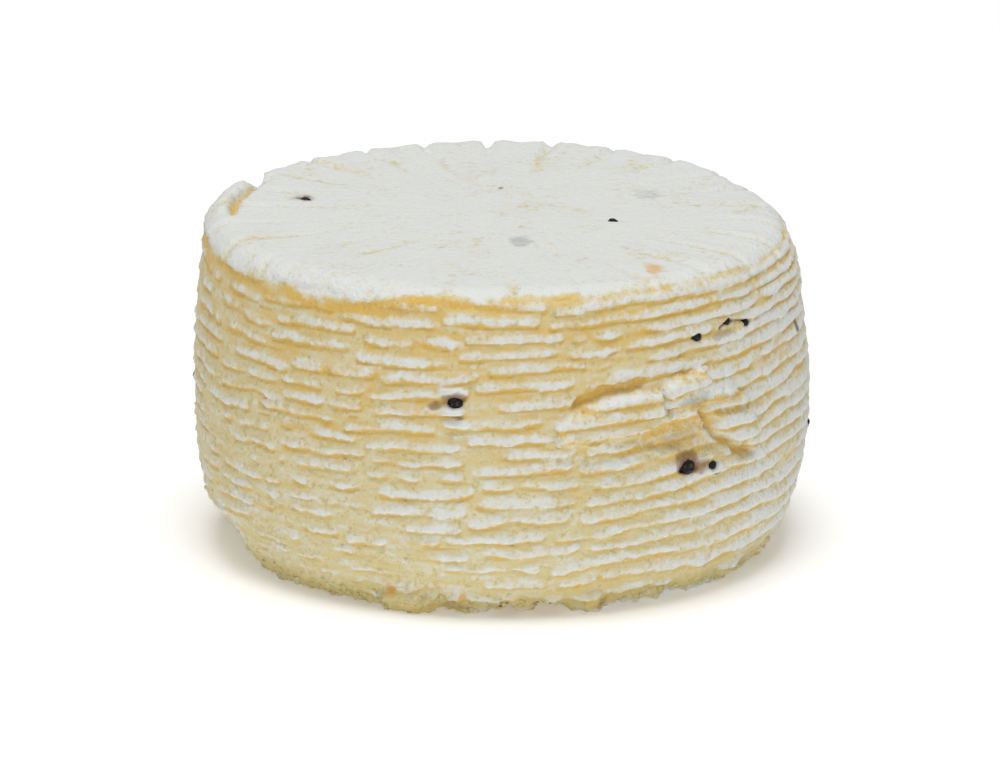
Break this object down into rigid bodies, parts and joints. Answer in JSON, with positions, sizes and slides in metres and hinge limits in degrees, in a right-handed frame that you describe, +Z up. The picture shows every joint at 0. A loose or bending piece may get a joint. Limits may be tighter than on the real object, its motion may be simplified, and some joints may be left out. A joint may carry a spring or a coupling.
{
  "type": "sheep cheese wheel with peppercorns",
  "caption": "Squat drum of young sheep cheese with basket-printed ridges, a notched rim, a torn patch and black peppercorns set in its rind.",
  "frame": {"origin": "middle of the flat base the cheese stands on", "axes": "+Z up along the drum's axis, -Y towards the pictured side, +X to the right of that view"},
  "size_m": [0.1504, 0.1498, 0.0836],
  "materials": {
    "rind": "dry, slightly oily cream and ochre cheese rind with a white bloom on its ridges",
    "peppercorn": "wrinkled black peppercorn with a faint sheen"
  },
  "bodies": {
    "root": {"cheese": "rind"}
  },
  "joints": []
}
